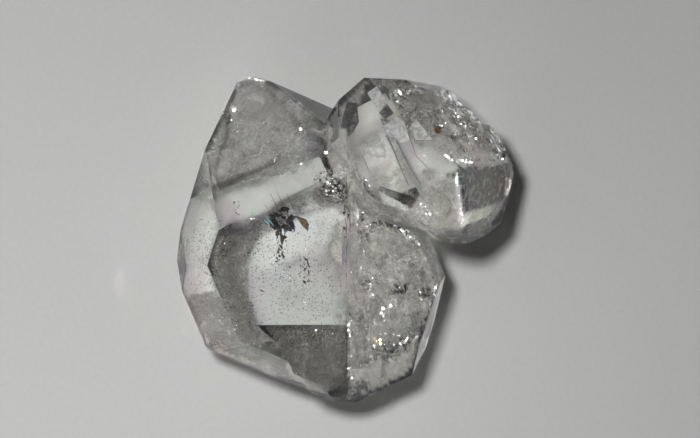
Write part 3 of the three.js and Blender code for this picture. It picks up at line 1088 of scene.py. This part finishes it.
scatters = (
    ("specks_window", "window", grain_shape, carbon, 20, 0.03, 0.15, 1.2, 0.44, 1),
    ("specks_lobe", "lobe", grain_shape, carbon, 14, 0.05, 0.17, 0.6, 0.42, 2),
    ("specks_band", "band", grain_shape, carbon, 10, 0.04, 0.18, 0.2, 0.42, 3),
    ("cracks_head", "head", flake_shape, chalk, 2.4, 0.04, 0.22, 0.8, 0.4, 4),
    ("cracks_top", "top", flake_shape, silver, 14, 0.1, 0.6, 0.4, 0.2, 5),
    ("grit_top_dark", "top", grain_shape, carbon, 12, 0.04, 0.26, 0.45, 0.36, 18),
    ("grit_top_light", "top", grain_shape, chalk, 14, 0.04, 0.22, 0.45, 0.30, 19),
    ("specks_brow", "brow", grain_shape, umber, 7, 0.04, 0.22, 0.3, 0.36, 20),
    ("cracks_band", "band", flake_shape, silver, 6.0, 0.06, 0.3, 0.2, 0.35, 6),
    ("flakes_cluster", "cluster", flake_shape, carbon, 9, 0.2, 1.5, 0.3, 0.1, 7),
    ("flakes_streak_one", "streak_one", flake_shape, umber, 16, 0.08, 0.8, 0.15, 0.1, 10),
    ("flakes_streak_two", "streak_two", flake_shape, umber, 14, 0.08, 0.6, 0.1, 0.1, 11),
    ("flakes_streak_three", "streak_three", flake_shape, umber, 9, 0.06, 0.4, 0.1, 0.1, 12),
    ("cracks_tail", "tail", flake_shape, silver, 2.5, 0.05, 0.3, 0.2, 0.4, 16),
    ("specks_tail", "tail", grain_shape, umber, 5, 0.03, 0.15, 0.2, 0.4, 17),
    ("specks_contact", "contact", grain_shape, umber, 4, 0.03, 0.16, 0.5, 0.45, 14),
    ("flakes_hole", "hole", flake_shape, umber, 30, 0.1, 0.5, 0.1, 0.1, 15),
    ("flakes_singles", "singles", flake_shape, carbon, 12, 0.1, 0.5, 0.1, 0.1, 9),
)
strewn = [strew(name, guides[guide], *rest) for name, guide, *rest in scatters]
for guide in guides.values():
    bpy.data.objects.remove(guide)
print({piece.name: len(piece.data.polygons) for piece in strewn})

# %% [markdown]
# The sparkles are small bright faces that happen to throw the light at the eye. Each is a thin
# mirror plate. On the skin its normal lies halfway between the eye and the light. Inside the quartz
# it lies halfway between the bent sight line and the bent light.

# %% How sparkles are made
HALF_PLATE, LIFT = 0.01, 0.03


def plate(bm, centre, normal, size, draw):
    """A thin six-sided plate."""
    across = normal.orthogonal().normalized()
    up = normal.cross(across)
    top, base = [], []
    for k in range(6):
        angle = math.tau * k / 6 + 0.4 * draw.random()
        reach = size / 2 * (0.6 + 0.6 * draw.random())
        rim = centre + across * math.cos(angle) * reach + up * math.sin(angle) * reach * 0.7
        top.append(bm.verts.new(rim + normal * HALF_PLATE))
        base.append(bm.verts.new(rim - normal * HALF_PLATE))
    bm.faces.new(top)
    bm.faces.new(base[::-1])
    for k in range(6):
        bm.faces.new([base[k], base[(k + 1) % 6], top[(k + 1) % 6], top[k]])


def sparkles(name, groups, material, seed, depth=None, wander=0.06):
    """Groups of plates: where from, where to, how wide a spread, how many, how large."""
    draw = random.Random(seed)
    bm = bmesh.new()
    for ax, ay, bx, by, spread, count, size in groups:
        for _ in range(count):
            along = draw.random()
            x = ax + (bx - ax) * along + draw.gauss(0, spread)
            y = ay + (by - ay) * along + draw.gauss(0, spread)
            entry = enter(x, y)
            if entry is None:
                continue
            hit, normal, way, room = entry
            to_eye, to_light = (eye - hit).normalized(), (lamp_place - hit).normalized()
            centre = hit + to_eye * LIFT
            if depth is not None:
                to_eye, to_light = -way, -bend(-to_light, normal)
                centre = hit + way * min(depth * (0.6 + 0.8 * draw.random()), room * 0.8)
            tilt = Vector([draw.gauss(0, wander) for _ in range(3)])
            facing = ((to_eye + to_light).normalized() + tilt).normalized()
            plate(bm, centre, facing, size * (0.5 + draw.random()), draw)
    return link(name, bm, material)


print("a sparkle's plate is", HALF_PLATE * 2, "mm thick")

# %% [markdown]
# Most sparkles sit on the rough fields and along the worn edges, a few shine deep in the head, and two
# groups are warm. A row gives where a group starts and ends, how far it spreads, how many there are
# and how large.

# %% Sparkles
spark = paint("spark", (0.95, 0.95, 0.95), 0.12, 1.0)
warm_spark = paint("warm_spark", (0.95, 0.62, 0.25), 0.12, 1.0)
surface = [
    (34.7, 24.4, 35.1, 27.6, 0.08, 10, 0.06),
    (38.2, 31.2, 39.6, 29.9, 0.12, 26, 0.12),
    (38.6, 30.6, 38.4, 31.6, 0.15, 12, 0.10),
    (34.5, 31.2, 35, 32.6, 0.08, 14, 0.09),
    (35.1, 32.4, 35.2, 38.2, 0.15, 36, 0.07),
    (31.4, 32.8, 33.4, 33.4, 0.12, 9, 0.07),
    (35.4, 20.8, 36.4, 23.6, 0.3, 9, 0.06),
    (38.6, 24.6, 42.4, 27.2, 0.35, 22, 0.07),
    (36.8, 26.8, 39.6, 28.4, 0.4, 16, 0.07),
    (39.6, 34.6, 42, 33.4, 0.14, 34, 0.11),
    (36.6, 37.8, 37.4, 38, 0.15, 7, 0.08),
    (45, 16.1, 47.2, 16.2, 0.12, 34, 0.13),
    (48.6, 15.6, 50.4, 15.8, 0.10, 14, 0.11),
    (46.4, 13.4, 47.6, 13.9, 0.10, 12, 0.11),
    (43.4, 15.4, 46, 15.9, 0.2, 14, 0.08),
    (39.9, 9, 40.1, 9.5, 0.10, 10, 0.13),
    (42, 14.6, 42.6, 16.6, 0.15, 10, 0.07),
    (34.8, 14, 36.4, 19, 0.3, 14, 0.06),
    (42.2, 20.6, 43.2, 21.6, 0.25, 14, 0.08),
    (31.8, 18.6, 34.4, 19.4, 0.45, 20, 0.07),
    (36, 27.5, 42, 34, 0.9, 40, 0.05),
    (43, 10, 49, 15, 0.9, 26, 0.05),
    (38.4, 35, 36, 39, 0.6, 12, 0.05),
]
edges = [
    (45.6, 17.6, 46.3, 22.4, 0.02, 70, 0.07),
    (40, 22.9, 42.4, 24.8, 0.02, 22, 0.08),
    (43.4, 29.4, 43.7, 28.2, 0.02, 12, 0.09),
    (24.6, 7.7, 26.4, 8.1, 0.02, 16, 0.08),
    (34.5, 31.3, 35, 33.5, 0.04, 10, 0.06),
    (34.8, 33.5, 34.8, 38.6, 0.03, 12, 0.05),
    (23, 23, 33, 18.1, 0.03, 9, 0.05),
]
deep = [
    (23.4, 10.9, 23.4, 10.9, 0.12, 5, 0.24),
    (30.1, 12.9, 30.1, 12.9, 0.04, 3, 0.20),
    (32.5, 15.2, 32.5, 15.2, 0.04, 3, 0.14),
    (22, 12, 32, 17, 1.2, 16, 0.05),
    (31.8, 17.6, 34.4, 19.8, 0.5, 12, 0.08),
    (22, 24, 24.5, 33, 0.6, 10, 0.05),
]
warm = [
    (37.4, 33.6, 38, 34.2, 0.12, 8, 0.12),
    (38.0, 30.9, 38.3, 30.6, 0.08, 4, 0.12),
]
sparkle_pieces = [
    sparkles("surface_sparkles", surface, spark, 3, wander=0.08),
    sparkles("edge_sparkles", edges, spark, 6, wander=0.05),
    sparkles("deep_sparkles", deep, spark, 4, depth=0.8, wander=0.02),
    sparkles("warm_sparkles", warm, warm_spark, 5),
]
print({piece.name: len(piece.data.polygons) for piece in sparkle_pieces})

for piece in veils + placed + strewn + sparkle_pieces:
    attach(piece, "root")
print("pieces:", 1 + len(veils + placed + strewn + sparkle_pieces))
